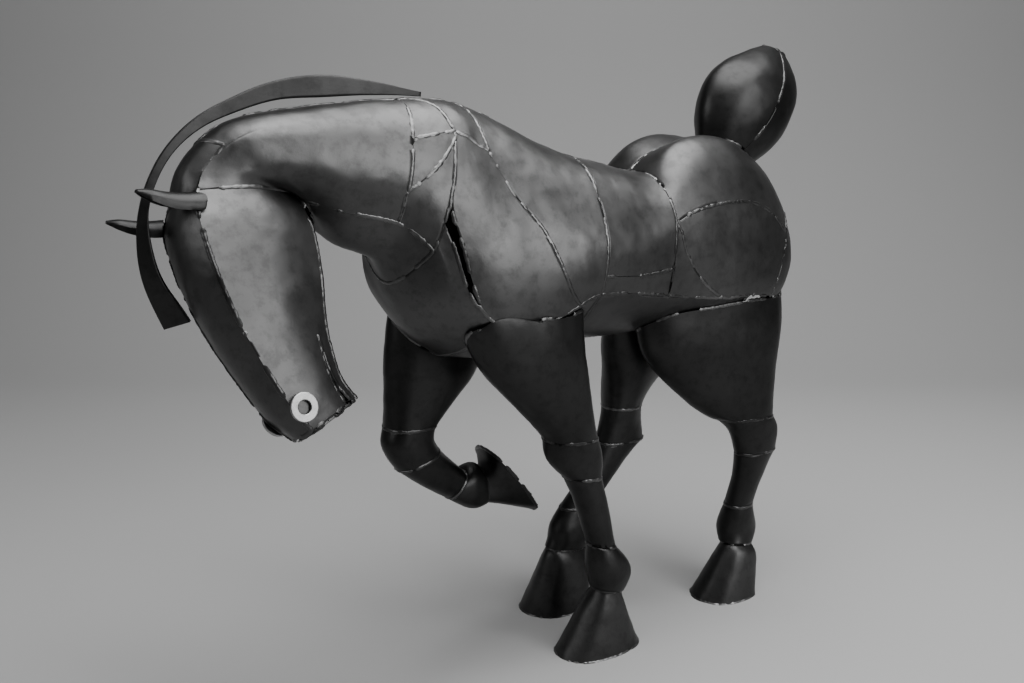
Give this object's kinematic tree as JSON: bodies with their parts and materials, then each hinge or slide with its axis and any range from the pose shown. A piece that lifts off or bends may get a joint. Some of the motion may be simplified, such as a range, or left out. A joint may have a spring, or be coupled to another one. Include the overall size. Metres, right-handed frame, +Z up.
{
  "type": "welded scrap metal horse sculpture",
  "caption": "Standing horse statue welded from bent dark sheet-steel plates: bowed head turned to its left, raised foreleg, upswept tail and a free-standing strip mane.",
  "frame": {"origin": "on the ground, under the middle of the bounding box", "axes": "+Z up; the horse faces -X, its left side is -Y and its right side is +Y"},
  "size_m": [0.941, 0.2256, 0.768],
  "materials": {
    "body_sheet": "graphite-black satin steel sheet with hammer dents and rubbed bright patches",
    "leg_sheet": "blackened satin steel sheet, darker than the body",
    "hoof_steel": "blackened steel with a rough weld-built rim and traces of brown rust",
    "tail_sheet": "blackened satin steel sheet with a bright ridge weld",
    "mane_bar": "blackened flat bar with bright worn edges",
    "ear_sheet": "graphite-black rolled sheet with bright edges",
    "washer_steel": "grey flat washer, lightly blackened"
  },
  "bodies": {
    "root": {"belly_plate": "body_sheet", "belly_strip_left": "body_sheet", "brisket_plate": "body_sheet", "cannon_fore_left": "leg_sheet", "cannon_fore_right": "leg_sheet", "cannon_hind_left": "leg_sheet", "cannon_hind_right": "leg_sheet", "cheek_plate_left": "body_sheet", "cheek_plate_right": "body_sheet", "chest_plate": "body_sheet", "collar_plate_left": "body_sheet", "collar_plate_right": "body_sheet", "collar_point_left": "body_sheet", "collar_wedge_left": "body_sheet", "croup_plate_left": "body_sheet", "croup_plate_right": "body_sheet", "ear_left": "ear_sheet", "ear_right": "ear_sheet", "face_plate": "body_sheet", "fetlock_fore_left": "leg_sheet", "fetlock_fore_right": "leg_sheet", "fetlock_hind_left": "leg_sheet", "fetlock_hind_right": "leg_sheet", "flank_plate_left": "body_sheet", "flank_plate_right": "body_sheet", "forearm_fore_left": "leg_sheet", "forearm_fore_right": "leg_sheet", "hip_plate_left": "body_sheet", "hip_plate_right": "body_sheet", "hock_hind_left": "leg_sheet", "hock_hind_right": "leg_sheet", "hoof_fore_left": "hoof_steel", "hoof_fore_right": "hoof_steel", "hoof_hind_left": "hoof_steel", "hoof_hind_right": "hoof_steel", "jaw_plate": "body_sheet", "knee_fore_left": "leg_sheet", "knee_fore_right": "leg_sheet", "mane": "mane_bar", "muzzle_plate": "body_sheet", "neck_plate_left": "body_sheet", "neck_plate_right": "body_sheet", "nostril_washer_left": "washer_steel", "nostril_washer_right": "washer_steel", "poll_plate": "body_sheet", "rib_plate_left": "body_sheet", "rib_plate_right": "body_sheet", "rump_plate_left": "body_sheet", "rump_plate_right": "body_sheet", "shoulder_plate_left": "body_sheet", "shoulder_plate_right": "body_sheet", "stifle_plate_left": "body_sheet", "stifle_plate_right": "body_sheet", "tail_front": "tail_sheet", "tail_rear": "tail_sheet", "thigh_hind_left": "leg_sheet", "thigh_hind_right": "leg_sheet", "throat_plate": "body_sheet", "withers_plate_left": "body_sheet", "withers_plate_right": "body_sheet"}
  },
  "joints": []
}
